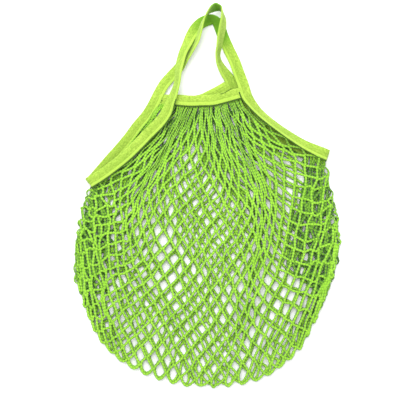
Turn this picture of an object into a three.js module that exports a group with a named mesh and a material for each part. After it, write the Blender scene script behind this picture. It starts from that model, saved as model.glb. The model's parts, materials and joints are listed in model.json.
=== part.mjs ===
// An empty cotton net shopping bag, lying flat with its front up and its handles toward +Y.
// One net folded into a pouch, two short gathering bands at the mouth, and one closed loop of
// folded tape that binds both side slits and runs on as the two carrying handles.
// Units are millimetres, +Z is up.
import * as THREE from "three";

// Tape and bands
const TAPE_WIDTH = 16;
const TAPE_THICKNESS = 2.4;
const BAND_WIDTH = 15;
const BAND_THICKNESS = 2.4;
const BAND_GAP = 0.8;
const NET_GAP = 1.2;

// Net: diamonds across one layer, half rows from band to bottom fold, half rows bound by the tape
const NET_DIAMONDS = 16;
const NET_ROWS = 18;
const SLIT_ROWS = 12;
const GATHERED_ROWS = 3;
const STRAND_WIDTH = 2.6;
const NET_THICKNESS = 2.4;
const LARGEST_INSET = 0.45;

// Heights of the two layers and of the folds that join them
const FRONT_HEIGHT = 10.2;
const BACK_HEIGHT = 1.2;
const FOLD_HEIGHT = 5.7;
const FADE_ROWS = 4;

// Smoothness of the swept pieces
const TAPE_STEPS = 2;
const BAND_STEPS = 14;

const COTTON_TAPE = "#c4e468";
const COTTON_BAND = "#c8ec64";
const COTTON_YARN = "#9ccf60";
const COTTON_ROUGHNESS = 0.9;

// Which way the outer face of the tape looks: up on the front, down on the back
const FRONT = 1;
const BACK = -1;
const TURN = 0;

// Stations of the tape: x, y, height of its middle, and how far its inner edge is lifted in degrees
const LEFT_FRONT_EDGE = [
  [-166, 19.5, 9.9, 6],
  [-149, 28, 10, 10],
  [-132, 40, 10, 12],
  [-112, 56, 10, 12],
  [-96, 72, 10, 10],
  [-83, 86, 10, 8],
  [-65, 105, 10, 8],
  [-57, 119, 10, 8],
];
const FRONT_HANDLE = [
  [-52, 133, 10.6, 10],
  [-47, 145, 12, 20],
  [-43, 159, 14.4, 42],
  [-41, 174, 15.6, 46],
  [-37, 189, 14.2, 46],
  [-33, 204, 10.5, 38],
  [-27, 217, 6.6, 20],
  [-21, 230, 3.6, 0],
  [-14, 241, 2.6, -2],
  [-6, 248, 2.4, -4],
  [1.5, 251.2, 3.2, -14],
  [9, 252.2, 6.2, -40],
  [15.5, 248.5, 5.8, -36],
  [20.5, 239, 3.4, -14],
  [24.5, 228, 2.7, -6],
  [32, 211, 2.6, 0],
  [41, 192, 4, 0],
  [47, 175, 6.5, 0],
  [53, 159, 9, 4],
];
const RIGHT_FRONT_EDGE = [
  [58, 143, 10, 14],
  [65, 132, 10, 34],
  [76, 118, 10, 48],
  [90, 105, 9.6, 54],
  [105, 93, 9.6, 54],
  [122, 82, 9.6, 48],
  [140, 73, 9.6, 38],
  [156, 65.5, 9.8, 22],
  [170, 59.5, 9.9, 8],
];
const RIGHT_BACK_EDGE = [
  [169.5, 58.8, 1.4, 0],
  [154, 62.5, 1.4, 0],
  [136, 68, 1.4, 0],
  [117, 75.5, 1.4, 0],
  [100, 85, 1.4, 0],
  [83, 99, 1.4, 0],
  [69, 114, 1.4, 0],
  [57, 129, 1.4, 0],
  [48, 142, 1.4, 0],
];
const BACK_HANDLE = [
  [39, 154, 1.5, 0],
  [31, 168, 2.8, 10],
  [24, 179, 5.4, 30],
  [18.5, 190, 8.2, 54],
  [17, 201, 10.2, 68],
  [19, 214, 12.8, 62],
  [21, 227, 14, 54],
  [23.5, 240, 15, 52],
  [25, 253, 13.4, 64],
  [23.5, 263, 10.4, 88],
  [20, 268, 9, 110],
  [14.5, 269, 9, 126],
  [8.5, 266.5, 13.6, 112],
  [1.5, 259, 18, 92],
  [-3.5, 248.5, 16.4, 82],
  [-7, 237, 14.6, 77],
  [-11.5, 222, 13, 72],
  [-20, 208, 9.8, 70],
  [-28.5, 195, 8.4, 58],
  [-39, 183, 4.3, 22],
  [-50, 171, 3.4, 14],
  [-60, 159.5, 3.4, 14],
];
const LEFT_BACK_EDGE = [
  [-69, 144, 3.4, 14],
  [-77, 128, 3, 10],
  [-86, 114, 2.4, 6],
  [-98, 98, 1.7, 2],
  [-109, 82, 1.4, 0],
  [-122, 66, 1.4, 0],
  [-136, 50, 1.4, 0],
  [-151, 33, 1.4, 0],
  [-166.5, 19.2, 1.4, 0],
];

// Each corner, where the tape doubles under the end of the slit: upper, outermost and lower station
const LEFT_CORNER = [[-168.8, 17.9, 8.9], [-170.2, 17, FOLD_HEIGHT], [-169, 17.4, 2.5]];
const RIGHT_CORNER = [[173, 58.3, 8.9], [174.5, 57.7, FOLD_HEIGHT], [173, 58.1, 2.5]];

// Middle line of each band between its two ends, which meet the tape
const FRONT_BAND_MIDDLE = [[-20, 137, 10.2], [0, 138, 10.2], [20, 141, 10.2]];
const BACK_BAND_MIDDLE = [[-40, 137, 2], [-20, 136, 1.6], [0, 139, 1.6], [16, 149, 1.8]];

// Folded edges of the net below the slits, and its bottom fold from left to right
const LEFT_FOLD = [[-175, -6], [-182, -24], [-186, -49], [-189, -78], [-189, -104], [-187, -124]];
const RIGHT_FOLD = [[174, 32], [178, 11], [182, -14], [186, -42], [189, -71], [189, -89]];
const BOTTOM_FOLD = [
  [-187, -124], [-177, -149], [-167, -178], [-150, -207], [-120, -235], [-87, -255], [-51, -267],
  [-9, -275], [34, -273], [76, -264], [102, -250], [132, -221], [150, -192], [162, -164],
  [174, -135], [184, -107], [189, -89],
];

const UP = new THREE.Vector3(0, 0, 1);

// Positions along the tape's station list where the bands and the net corners meet it
const FRONT_HANDLE_START = 2 + LEFT_FRONT_EDGE.length;
const RIGHT_FRONT_START = FRONT_HANDLE_START + FRONT_HANDLE.length;
const RIGHT_TURN = RIGHT_FRONT_START + RIGHT_FRONT_EDGE.length + 1;
const BACK_HANDLE_START = RIGHT_TURN + 2 + RIGHT_BACK_EDGE.length;
const LEFT_BACK_START = BACK_HANDLE_START + BACK_HANDLE.length;
const LEFT_TURN_AGAIN = LEFT_BACK_START + LEFT_BACK_EDGE.length + 1;
const MEETS = {
  frontLeft: { top: FRONT_HANDLE_START + 1.05, bottom: FRONT_HANDLE_START - 0.05 },
  frontRight: { top: RIGHT_FRONT_START - 0.85, bottom: RIGHT_FRONT_START + 0.1 },
  backRight: { top: BACK_HANDLE_START + 0.95, bottom: BACK_HANDLE_START - 0.1 },
  backLeft: { top: LEFT_BACK_START - 0.15, bottom: LEFT_BACK_START + 0.72 },
};

function station(row, side) {
  const lift = THREE.MathUtils.degToRad(row[3] ?? 0);
  return { at: new THREE.Vector3(row[0], row[1], row[2]), lift, side };
}

function tapeStations() {
  const [leftUpper, leftOutermost, leftLower] = LEFT_CORNER.map((row) => station(row, TURN));
  const front = [...LEFT_FRONT_EDGE, ...FRONT_HANDLE, ...RIGHT_FRONT_EDGE];
  const back = [...RIGHT_BACK_EDGE, ...BACK_HANDLE, ...LEFT_BACK_EDGE];
  return [
    leftOutermost,
    leftUpper,
    ...front.map((row) => station(row, FRONT)),
    ...RIGHT_CORNER.map((row) => station(row, TURN)),
    ...back.map((row) => station(row, BACK)),
    leftLower,
  ];
}

// Direction from the middle of the tape to its inner edge, the one sewn to the net
function innerDirections(stations) {
  const count = stations.length;
  const inner = stations.map((here, index) => {
    const before = stations[(index + count - 1) % count];
    const after = stations[(index + 1) % count];
    if (here.side === TURN) {
      return null;
    }
    const from = before.side === TURN ? here : before;
    const to = after.side === TURN ? here : after;
    const run = new THREE.Vector3().subVectors(to.at, from.at).setZ(0).normalize();
    const level = new THREE.Vector3().crossVectors(run, UP).multiplyScalar(here.side);
    return level.multiplyScalar(Math.cos(here.lift)).addScaledVector(UP, Math.sin(here.lift));
  });
  return inner.map((direction, index) => {
    if (direction) {
      return direction;
    }
    const nearest = [-2, -1, 1, 2].map((step) => inner[(index + step + count) % count]);
    const sum = new THREE.Vector3();
    nearest.filter(Boolean).forEach((known) => sum.add(known));
    return sum.normalize();
  });
}

function makeTapePath() {
  const stations = tapeStations();
  const middle = new THREE.CatmullRomCurve3(stations.map((here) => here.at), true);
  const inward = new THREE.CatmullRomCurve3(innerDirections(stations), true);
  const frameAt = (position) => {
    const share = (position / stations.length) % 1;
    const along = middle.getTangent(share);
    const inner = inward.getPoint(share);
    inner.addScaledVector(along, -inner.dot(along)).normalize();
    const outerFace = new THREE.Vector3().crossVectors(inner, along);
    return { at: middle.getPoint(share), along, inner, outerFace };
  };
  return { count: stations.length, frameAt };
}

function pointOnTape(path, position, across, outward) {
  const frame = path.frameAt(position);
  return frame.at.addScaledVector(frame.inner, across).addScaledVector(frame.outerFace, outward);
}

// A solid from rows of section points: neighbouring rows are joined by quads
function solidFromSections(sections, closed) {
  const corners = sections[0].length;
  const positions = sections.flat().flatMap((point) => [point.x, point.y, point.z]);
  const triangles = [];
  const spans = closed ? sections.length : sections.length - 1;
  for (let span = 0; span < spans; span += 1) {
    const near = span * corners;
    const far = ((span + 1) % sections.length) * corners;
    for (let corner = 0; corner < corners; corner += 1) {
      const next = (corner + 1) % corners;
      triangles.push(near + corner, near + next, far + next);
      triangles.push(near + corner, far + next, far + corner);
    }
  }
  if (!closed) {
    const last = (sections.length - 1) * corners;
    for (let corner = 1; corner < corners - 1; corner += 1) {
      triangles.push(0, corner + 1, corner);
      triangles.push(last, last + corner, last + corner + 1);
    }
  }
  const geometry = new THREE.BufferGeometry();
  geometry.setAttribute("position", new THREE.Float32BufferAttribute(positions, 3));
  geometry.setIndex(triangles);
  geometry.computeVertexNormals();
  return geometry;
}

function tapeGeometry(path) {
  const sections = [];
  const halfWidth = TAPE_WIDTH / 2;
  const halfThickness = TAPE_THICKNESS / 2;
  for (let step = 0; step < path.count * TAPE_STEPS; step += 1) {
    const position = step / TAPE_STEPS;
    sections.push([
      pointOnTape(path, position, -halfWidth, -halfThickness),
      pointOnTape(path, position, -halfWidth, halfThickness),
      pointOnTape(path, position, halfWidth, halfThickness),
      pointOnTape(path, position, halfWidth, -halfThickness),
    ]);
  }
  return solidFromSections(sections, true);
}

// The upper and lower edges of a band, each ending on the inner edge of the tape
function bandEdges(path, left, right, middlePoints) {
  const reach = TAPE_WIDTH / 2 + BAND_GAP;
  const middle = middlePoints.map((point) => new THREE.Vector3(...point));
  const offsets = middle.map((point, index) => {
    const before = middle[Math.max(index - 1, 0)];
    const after = middle[Math.min(index + 1, middle.length - 1)];
    const along = new THREE.Vector3().subVectors(after, before).setZ(0).normalize();
    return new THREE.Vector3().crossVectors(UP, along).multiplyScalar(BAND_WIDTH / 2);
  });
  const upper = new THREE.CatmullRomCurve3([
    pointOnTape(path, left.top, reach, 0),
    ...middle.map((point, index) => point.clone().add(offsets[index])),
    pointOnTape(path, right.top, reach, 0),
  ]);
  const lower = new THREE.CatmullRomCurve3([
    pointOnTape(path, left.bottom, reach, 0),
    ...middle.map((point, index) => point.clone().sub(offsets[index])),
    pointOnTape(path, right.bottom, reach, 0),
  ]);
  return { upper, lower };
}

function bandGeometry(edges) {
  const halfThickness = BAND_THICKNESS / 2;
  const uppers = edges.upper.getSpacedPoints(BAND_STEPS);
  const lowers = edges.lower.getSpacedPoints(BAND_STEPS);
  const sections = uppers.map((upper, index) => [
    upper.clone().addScaledVector(UP, -halfThickness),
    upper.clone().addScaledVector(UP, halfThickness),
    lowers[index].clone().addScaledVector(UP, halfThickness),
    lowers[index].clone().addScaledVector(UP, -halfThickness),
  ]);
  return solidFromSections(sections, false);
}

// Knots sewn to the tape between two station positions, evenly spaced, with the way they face
function sewnEdge(path, from, to, rows) {
  const reach = TAPE_WIDTH / 2 + NET_GAP;
  const samples = 60;
  const positions = [];
  for (let sample = 0; sample <= samples; sample += 1) {
    positions.push(from + ((to - from) * sample) / samples);
  }
  const edge = positions.map((position) => pointOnTape(path, position, reach, 0));
  const lengths = [0];
  for (let sample = 1; sample <= samples; sample += 1) {
    lengths.push(lengths[sample - 1] + edge[sample].distanceTo(edge[sample - 1]));
  }
  const knots = [];
  for (let row = 0; row <= rows; row += 1) {
    const wanted = (lengths[samples] * row) / rows;
    const found = Math.max(lengths.findIndex((length) => length >= wanted - 1e-6), 1);
    const share = (wanted - lengths[found - 1]) / (lengths[found] - lengths[found - 1]);
    const position = THREE.MathUtils.lerp(positions[found - 1], positions[found], share);
    const at = pointOnTape(path, position, reach, 0);
    knots.push({ at, facing: path.frameAt(position).outerFace });
  }
  return knots;
}

function foldEdge(start, points, rows) {
  const path = [start, ...points.map((point) => new THREE.Vector3(point[0], point[1], FOLD_HEIGHT))];
  const spaced = new THREE.CatmullRomCurve3(path).getSpacedPoints(rows);
  return spaced.slice(1).map((at) => ({ at, facing: null }));
}

function fade(distance) {
  const rest = Math.max(1 - distance / FADE_ROWS, 0);
  return rest * rest;
}

// Knots of one layer, spread between its four edges
function layerKnots(edges, height) {
  const columns = 2 * NET_DIAMONDS;
  const rows = NET_ROWS;
  const knots = [];
  for (let row = 0; row <= rows; row += 1) {
    knots.push([]);
    for (let column = 0; column <= columns; column += 1) {
      const across = column / columns;
      const down = row / rows;
      const left = edges.left[row].at;
      const right = edges.right[row].at;
      const top = edges.top[column].at;
      const bottom = edges.bottom[column].at;
      const at = new THREE.Vector3();
      at.addScaledVector(left, 1 - across).addScaledVector(right, across);
      at.addScaledVector(top, 1 - down).addScaledVector(bottom, down);
      at.addScaledVector(edges.top[0].at, -(1 - across) * (1 - down));
      at.addScaledVector(edges.top[columns].at, -across * (1 - down));
      at.addScaledVector(edges.bottom[0].at, -(1 - across) * down);
      at.addScaledVector(edges.bottom[columns].at, -across * down);
      const sideShare = Math.max(fade(column), fade(columns - column));
      const sideHeight = column < columns - column ? left.z : right.z;
      const endShare = Math.max(fade(row), fade(rows - row));
      const endHeight = row < rows - row ? top.z : bottom.z;
      const level = THREE.MathUtils.lerp(height, sideHeight, sideShare);
      at.z = THREE.MathUtils.lerp(level, endHeight, endShare);
      knots[row].push({ at, facing: null });
    }
  }
  for (let row = 0; row <= rows; row += 1) {
    knots[row][0] = edges.left[row];
    knots[row][columns] = edges.right[row];
  }
  knots[0] = edges.top;
  knots[rows] = edges.bottom;
  return knots;
}

function layerEdges(path, band, left, right, shared) {
  const columns = 2 * NET_DIAMONDS;
  const seam = new THREE.Vector3(0, -NET_GAP, 0);
  const facing = UP.clone().multiplyScalar(shared.side);
  const top = band.lower.getSpacedPoints(columns).map((at) => ({ at: at.add(seam), facing }));
  const leftEdge = [...sewnEdge(path, left.from, left.to, SLIT_ROWS), ...shared.leftFold];
  const rightEdge = [...sewnEdge(path, right.from, right.to, SLIT_ROWS), ...shared.rightFold];
  top[0] = { at: leftEdge[0].at.clone().add(seam), facing };
  top[columns] = { at: rightEdge[0].at.clone().add(seam), facing };
  leftEdge[0] = top[0];
  rightEdge[0] = top[columns];
  leftEdge[SLIT_ROWS] = shared.leftCorner;
  rightEdge[SLIT_ROWS] = shared.rightCorner;
  return { top, left: leftEdge, right: rightEdge, bottom: shared.bottom };
}

function cornerKnot(path, position) {
  const at = pointOnTape(path, position, TAPE_WIDTH / 2 + NET_GAP, 0);
  return { at, facing: path.frameAt(position).outerFace };
}

// Cells of the net as rings of knots, counter-clockwise from outside; folded cells are made once
function netCells(front, back) {
  const columns = 2 * NET_DIAMONDS;
  const rows = NET_ROWS;
  const cells = [];
  const addCell = (ring, open) => {
    cells.push({ ring: ring.filter(Boolean), open, order: cells.length });
  };
  for (let row = 0; row <= rows; row += 1) {
    for (let column = (row + 1) % 2; column <= columns; column += 2) {
      const open = row > GATHERED_ROWS;
      const frontUp = front[row - 1]?.[column];
      const frontDown = front[row + 1]?.[column];
      const backUp = back[row - 1]?.[column];
      const backDown = back[row + 1]?.[column];
      const folded = row > SLIT_ROWS;
      if (row === rows) {
        addCell([frontUp, front[row][column - 1], backUp, front[row][column + 1]], open);
      } else if (folded && column === 0) {
        addCell([frontUp, back[row][1], frontDown, front[row][1]], open);
      } else if (folded && column === columns) {
        addCell([frontUp, front[row][column - 1], frontDown, back[row][column - 1]], open);
      } else {
        addCell([frontUp, front[row][column - 1], frontDown, front[row][column + 1]], open);
        addCell([backUp, back[row][column + 1], backDown, back[row][column - 1]], open);
      }
    }
  }
  return cells;
}

function ringNormal(ring) {
  const normal = new THREE.Vector3();
  ring.forEach((knot, index) => {
    const next = ring[(index + 1) % ring.length];
    normal.add(new THREE.Vector3().crossVectors(knot.at, next.at));
  });
  return normal;
}

// Turns the cells into one solid: strands of the set width and thickness around open holes
function latticeGeometry(cells) {
  const positions = [];
  const triangles = [];
  const addPoint = (point) => positions.push(point.x, point.y, point.z) / 3 - 1;
  const addRing = (ring) => {
    for (let corner = 1; corner < ring.length - 1; corner += 1) {
      triangles.push(ring[0], ring[corner], ring[corner + 1]);
    }
  };
  const addBoth = (outerRing, innerRing) => {
    addRing(outerRing);
    addRing([...innerRing].reverse());
  };

  const knots = [...new Set(cells.flatMap((cell) => cell.ring))];
  knots.forEach((knot) => {
    knot.normal = new THREE.Vector3();
    knot.leaving = new Map();
    knot.arriving = new Map();
  });
  cells.forEach((cell) => {
    const normal = ringNormal(cell.ring);
    cell.ring.forEach((knot) => knot.normal.add(normal));
  });
  knots.forEach((knot) => {
    knot.normal = (knot.facing ?? knot.normal).clone().normalize();
  });

  // Points at a knot itself, which only the net's free edges need
  const edgePoints = (knot) => {
    if (!knot.edge) {
      const half = knot.normal.clone().multiplyScalar(NET_THICKNESS / 2);
      const outer = addPoint(knot.at.clone().add(half));
      const inner = addPoint(knot.at.clone().sub(half));
      knot.edge = { outer, inner };
    }
    return knot.edge;
  };

  // Corners of the hole in each cell
  cells.forEach((cell) => {
    const size = cell.ring.length;
    const centre = new THREE.Vector3();
    cell.ring.forEach((knot) => centre.addScaledVector(knot.at, 1 / size));
    cell.outer = [];
    cell.inner = [];
    cell.ring.forEach((knot, index) => {
      const next = cell.ring[(index + 1) % size];
      const before = cell.ring[(index + size - 1) % size];
      const toNext = new THREE.Vector3().subVectors(next.at, knot.at);
      const toBefore = new THREE.Vector3().subVectors(before.at, knot.at);
      const halfAngle = toNext.angleTo(toBefore) / 2;
      const toCentre = new THREE.Vector3().subVectors(centre, knot.at);
      const wanted = STRAND_WIDTH / 2 / Math.sin(halfAngle);
      const inset = Math.min(wanted, toCentre.length() * LARGEST_INSET);
      const at = knot.at.clone().addScaledVector(toCentre.normalize(), inset);
      cell.outer.push(addPoint(at.clone().addScaledVector(knot.normal, NET_THICKNESS / 2)));
      cell.inner.push(addPoint(at.clone().addScaledVector(knot.normal, -NET_THICKNESS / 2)));
      knot.leaving.set(next, { cell, index });
      knot.arriving.set(before, { cell, index });
    });
  });

  cells.forEach((cell) => {
    const size = cell.ring.length;
    if (!cell.open) {
      addBoth(cell.outer, cell.inner);
    }
    cell.ring.forEach((knot, index) => {
      const after = (index + 1) % size;
      const next = cell.ring[after];
      if (cell.open) {
        addRing([cell.inner[after], cell.inner[index], cell.outer[index], cell.outer[after]]);
      }
      const across = next.leaving.get(knot);
      if (across === undefined) {
        const here = edgePoints(knot);
        const there = edgePoints(next);
        addBoth(
          [here.outer, there.outer, cell.outer[after], cell.outer[index]],
          [here.inner, there.inner, cell.inner[after], cell.inner[index]],
        );
        addRing([here.inner, there.inner, there.outer, here.outer]);
        return;
      }
      const far = across.cell;
      const farNext = across.index;
      const farKnot = (across.index + 1) % far.ring.length;
      if (cell.order < far.order) {
        addBoth(
          [far.outer[farKnot], far.outer[farNext], cell.outer[after], cell.outer[index]],
          [far.inner[farKnot], far.inner[farNext], cell.inner[after], cell.inner[index]],
        );
      }
    });
  });

  // Knots: the patch left between the cells that meet there
  knots.forEach((knot) => {
    const nexts = [...knot.leaving.keys()];
    const first = nexts.find((next) => !knot.arriving.has(next));
    const outerRing = first ? [edgePoints(knot).outer] : [];
    const innerRing = first ? [edgePoints(knot).inner] : [];
    let next = first ?? nexts[0];
    for (let turn = 0; turn < nexts.length; turn += 1) {
      const { cell, index } = knot.leaving.get(next);
      outerRing.push(cell.outer[index]);
      innerRing.push(cell.inner[index]);
      next = cell.ring[(index + cell.ring.length - 1) % cell.ring.length];
    }
    addBoth(outerRing, innerRing);
  });

  const geometry = new THREE.BufferGeometry();
  geometry.setAttribute("position", new THREE.Float32BufferAttribute(positions, 3));
  geometry.setIndex(triangles);
  geometry.computeVertexNormals();
  return geometry;
}

function netGeometry(path, frontBand, backBand) {
  const leftCorner = cornerKnot(path, 0);
  const rightCorner = cornerKnot(path, RIGHT_TURN);
  const foldRows = NET_ROWS - SLIT_ROWS;
  const leftFold = foldEdge(leftCorner.at, LEFT_FOLD, foldRows);
  const rightFold = foldEdge(rightCorner.at, RIGHT_FOLD, foldRows);
  const bottomPoints = BOTTOM_FOLD.map((point) => new THREE.Vector3(point[0], point[1], FOLD_HEIGHT));
  const bottomCurve = new THREE.CatmullRomCurve3(bottomPoints);
  const bottom = bottomCurve.getSpacedPoints(2 * NET_DIAMONDS).map((at) => ({ at, facing: null }));
  bottom[0] = leftFold[foldRows - 1];
  bottom[2 * NET_DIAMONDS] = rightFold[foldRows - 1];
  const shared = { leftCorner, rightCorner, leftFold, rightFold, bottom };
  const frontEdges = layerEdges(
    path,
    frontBand,
    { from: MEETS.frontLeft.bottom, to: 0 },
    { from: MEETS.frontRight.bottom, to: RIGHT_TURN },
    { ...shared, side: FRONT },
  );
  const backEdges = layerEdges(
    path,
    backBand,
    { from: MEETS.backLeft.bottom, to: LEFT_TURN_AGAIN },
    { from: MEETS.backRight.bottom, to: RIGHT_TURN },
    { ...shared, side: BACK },
  );
  const front = layerKnots(frontEdges, FRONT_HEIGHT);
  const back = layerKnots(backEdges, BACK_HEIGHT);
  return latticeGeometry(netCells(front, back));
}

function cottonMesh(name, geometry, color) {
  const material = new THREE.MeshStandardMaterial({ color, roughness: COTTON_ROUGHNESS, metalness: 0 });
  const mesh = new THREE.Mesh(geometry, material);
  mesh.name = name;
  return mesh;
}

function buildBag() {
  const path = makeTapePath();
  const frontBand = bandEdges(path, MEETS.frontLeft, MEETS.frontRight, FRONT_BAND_MIDDLE);
  const backBand = bandEdges(path, MEETS.backLeft, MEETS.backRight, BACK_BAND_MIDDLE);
  const bag = new THREE.Group();
  bag.name = "net_shopping_bag";
  bag.add(cottonMesh("net", netGeometry(path, frontBand, backBand), COTTON_YARN));
  bag.add(cottonMesh("front_band", bandGeometry(frontBand), COTTON_BAND));
  bag.add(cottonMesh("back_band", bandGeometry(backBand), COTTON_BAND));
  bag.add(cottonMesh("handle_tape", tapeGeometry(path), COTTON_TAPE));

  // Origin at the middle of the underside
  const box = new THREE.Box3().setFromObject(bag);
  const middle = box.getCenter(new THREE.Vector3());
  bag.children.forEach((mesh) => mesh.geometry.translate(-middle.x, -middle.y, -box.min.z));
  return bag;
}

export default buildBag();
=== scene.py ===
# %% [markdown]
# # An empty cotton net shopping bag
# The bag lies flat with its front up and its handles toward +Y. It is one net of soft cotton chains, folded
# into a pouch and gathered onto two short bands, and one closed loop of folded tape that binds the side slits
# and runs on as the handles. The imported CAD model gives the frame: its solids stay for collision, and the
# pieces made here stand for them in the same place.

# %% Load the frame
import json
import math

import bpy
import numpy as np
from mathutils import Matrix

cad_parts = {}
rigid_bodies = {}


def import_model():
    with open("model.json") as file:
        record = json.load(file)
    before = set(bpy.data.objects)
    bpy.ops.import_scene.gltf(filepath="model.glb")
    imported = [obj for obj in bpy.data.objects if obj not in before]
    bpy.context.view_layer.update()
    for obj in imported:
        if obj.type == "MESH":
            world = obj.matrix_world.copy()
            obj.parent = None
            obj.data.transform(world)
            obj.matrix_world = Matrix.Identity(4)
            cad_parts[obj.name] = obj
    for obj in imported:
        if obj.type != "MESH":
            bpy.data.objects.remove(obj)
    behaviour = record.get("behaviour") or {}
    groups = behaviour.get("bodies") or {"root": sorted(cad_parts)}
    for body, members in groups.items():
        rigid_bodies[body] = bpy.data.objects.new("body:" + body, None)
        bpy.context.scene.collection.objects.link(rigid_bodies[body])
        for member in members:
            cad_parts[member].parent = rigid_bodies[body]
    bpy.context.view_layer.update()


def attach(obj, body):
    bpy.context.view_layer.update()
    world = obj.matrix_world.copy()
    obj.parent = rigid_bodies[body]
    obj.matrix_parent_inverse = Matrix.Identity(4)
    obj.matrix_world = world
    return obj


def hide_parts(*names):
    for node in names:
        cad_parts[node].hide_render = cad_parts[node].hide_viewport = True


for leftover in list(bpy.data.objects):
    bpy.data.objects.remove(leftover)
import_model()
MM = 0.001
UP = np.array([0.0, 0.0, 1.0])
FLAT = np.array([1, 1, 0])

# %% [markdown]
# ## The route of the tape
# The tape is one loop. From the left corner it binds the front edge of the left slit, rises as the front
# handle, comes down along the right slit, doubles under at the right corner and goes back the same way.
# Each station below gives the middle of the tape in millimetres and how far its inner edge, the one sewn to
# the net, is lifted in degrees. The stations follow those of the CAD model, so the tape lies at its solid.

# %% Stations of the tape
CAD_SHIFT = np.array([0.43, -0.86, 0.05])
LEFT_FRONT_EDGE = [
    (-164.2, 20.6, 9.9, 6), (-150.5, 29, 10, 10), (-133.7, 41.2, 10, 11), (-113.8, 57.2, 10, 10),
    (-97.6, 73, 10, 8), (-84.4, 86.8, 10, 7), (-66, 105.5, 10, 8), (-56.5, 119, 10.4, 16),
]
FRONT_HANDLE = [
    (-51, 133, 11.5, 34), (-46, 145, 13, 46), (-41.5, 159, 15, 57), (-39.5, 174, 15.8, 56),
    (-37, 189, 14.2, 46), (-33, 204, 11.2, 43), (-27, 217, 8, 32), (-21, 230, 4.8, 14),
    (-14, 241, 2.6, -2), (-6, 248, 2.4, -4), (1.5, 251.2, 3.2, -14), (9, 252.2, 6.2, -40),
    (15.5, 248.5, 5.8, -36), (20.5, 239, 3.4, -14), (24.5, 228, 2.7, -6), (32, 211, 2.6, 0),
    (41, 192, 4, 0), (47, 175, 6.5, 0), (53, 159, 9, 4),
]
RIGHT_FRONT_EDGE = [
    (58, 143, 10, 14), (65, 132, 10, 32), (76.5, 118.5, 10, 44), (91, 106, 9.6, 47), (106.5, 94.5, 9.6, 46),
    (123.2, 83.2, 9.6, 42), (140, 73, 9.6, 36), (156, 65.5, 9.8, 22), (170, 59.5, 9.9, 8),
]
RIGHT_BACK_EDGE = [
    (169.5, 58.8, 1.4, 0), (154, 62.5, 1.4, 0), (136, 68, 1.4, 0), (117, 75.5, 1.4, 0), (100, 85, 1.4, 0),
    (83, 99, 1.4, 0), (69, 114, 1.4, 0), (57, 129, 1.4, 0), (48, 142, 1.4, 0),
]
BACK_HANDLE = [
    (39.5, 154, 1.6, 0), (33, 168, 3.2, 14), (25, 179, 6, 36), (19, 190, 9, 56), (17, 201, 10.4, 66),
    (19, 214, 12.8, 62), (21, 227, 14, 54), (23.5, 240, 15, 52), (25, 253, 13.4, 64), (23.5, 263, 10.4, 88),
    (20, 268, 9, 110), (14.5, 269, 9, 126), (8.5, 266.5, 13.6, 112), (1.5, 259, 18, 92),
    (-4, 248.5, 16.2, 79), (-7.8, 237, 14.2, 71), (-12.4, 222, 12.4, 66), (-21, 208, 9.4, 60),
    (-29.6, 195.4, 8, 50), (-39, 183, 4.3, 22), (-50, 171, 3.4, 14), (-60, 159.5, 3.4, 14),
]
LEFT_BACK_EDGE = [
    (-69, 144, 3.4, 14), (-77, 128, 3, 10), (-86, 114, 2.4, 6), (-99, 98.6, 1.7, 2), (-110.4, 83, 1.4, 0),
    (-123.6, 67.2, 1.4, 0), (-137.8, 51.4, 1.4, 0), (-152.2, 34.6, 1.4, 0), (-164.6, 20.6, 1.4, 0),
]
LEFT_CORNER = [(-166.4, 19.2, 8.9), (-167.6, 18.4, 5.7), (-166.6, 18.9, 2.5)]
RIGHT_CORNER = [(173, 58.3, 8.9), (174.5, 57.7, 5.7), (173, 58.1, 2.5)]

front_rows = LEFT_FRONT_EDGE + FRONT_HANDLE + RIGHT_FRONT_EDGE
back_rows = RIGHT_BACK_EDGE + BACK_HANDLE + LEFT_BACK_EDGE
stations = [LEFT_CORNER[1], LEFT_CORNER[0], *front_rows, *RIGHT_CORNER, *back_rows, LEFT_CORNER[2]]
station_sides = [0, 0] + [1] * len(front_rows) + [0] * 3 + [-1] * len(back_rows) + [0]
FRONT_HANDLE_START = 2 + len(LEFT_FRONT_EDGE)
RIGHT_FRONT_START = FRONT_HANDLE_START + len(FRONT_HANDLE)
RIGHT_TURN = RIGHT_FRONT_START + len(RIGHT_FRONT_EDGE) + 1
BACK_HANDLE_START = RIGHT_TURN + 2 + len(RIGHT_BACK_EDGE)
LEFT_BACK_START = BACK_HANDLE_START + len(BACK_HANDLE)
print("stations of the tape:", len(stations))

# %% [markdown]
# ## Smooth curves
# Everything on the bag follows a curve: the tape, the bands and each chain of the net. A cubic piece between
# two points with a leaving and an arriving direction makes all of them. Through a list of stations the
# directions come from the neighbours, which is a Catmull-Rom curve, and it passes through every station.

# %% Curve helpers
def cubic(start, end, leave, arrive, share):
    """A cubic piece from start to end that leaves and arrives in the given directions."""
    squared = share * share
    cubed = squared * share
    return (
        (2 * cubed - 3 * squared + 1) * start
        + (cubed - 2 * squared + share) * leave
        + (3 * squared - 2 * cubed) * end
        + (cubed - squared) * arrive
    )


def through(points, positions, closed=False):
    """A smooth curve through points. Position 2.5 is halfway from point 2 to point 3."""
    positions = np.asarray(positions, float)
    if closed:
        whole = np.floor(positions).astype(int)
        before, start, end, after = [points[(whole + step) % len(points)] for step in (-1, 0, 1, 2)]
    else:
        longer = np.vstack([2 * points[0] - points[1], points, 2 * points[-1] - points[-2]])
        whole = np.clip(np.floor(positions).astype(int), 0, len(points) - 2)
        before, start, end, after = [longer[whole + step] for step in (0, 1, 2, 3)]
    first, middle, last = [
        np.sqrt(np.linalg.norm(far - near, axis=-1, keepdims=True))
        for near, far in ((before, start), (start, end), (end, after))
    ]
    leave = (start - before) / first - (end - before) / (first + middle) + (end - start) / middle
    arrive = (end - start) / middle - (after - start) / (middle + last) + (after - end) / last
    return cubic(start, end, leave * middle, arrive * middle, (positions - whole)[..., None])


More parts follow.
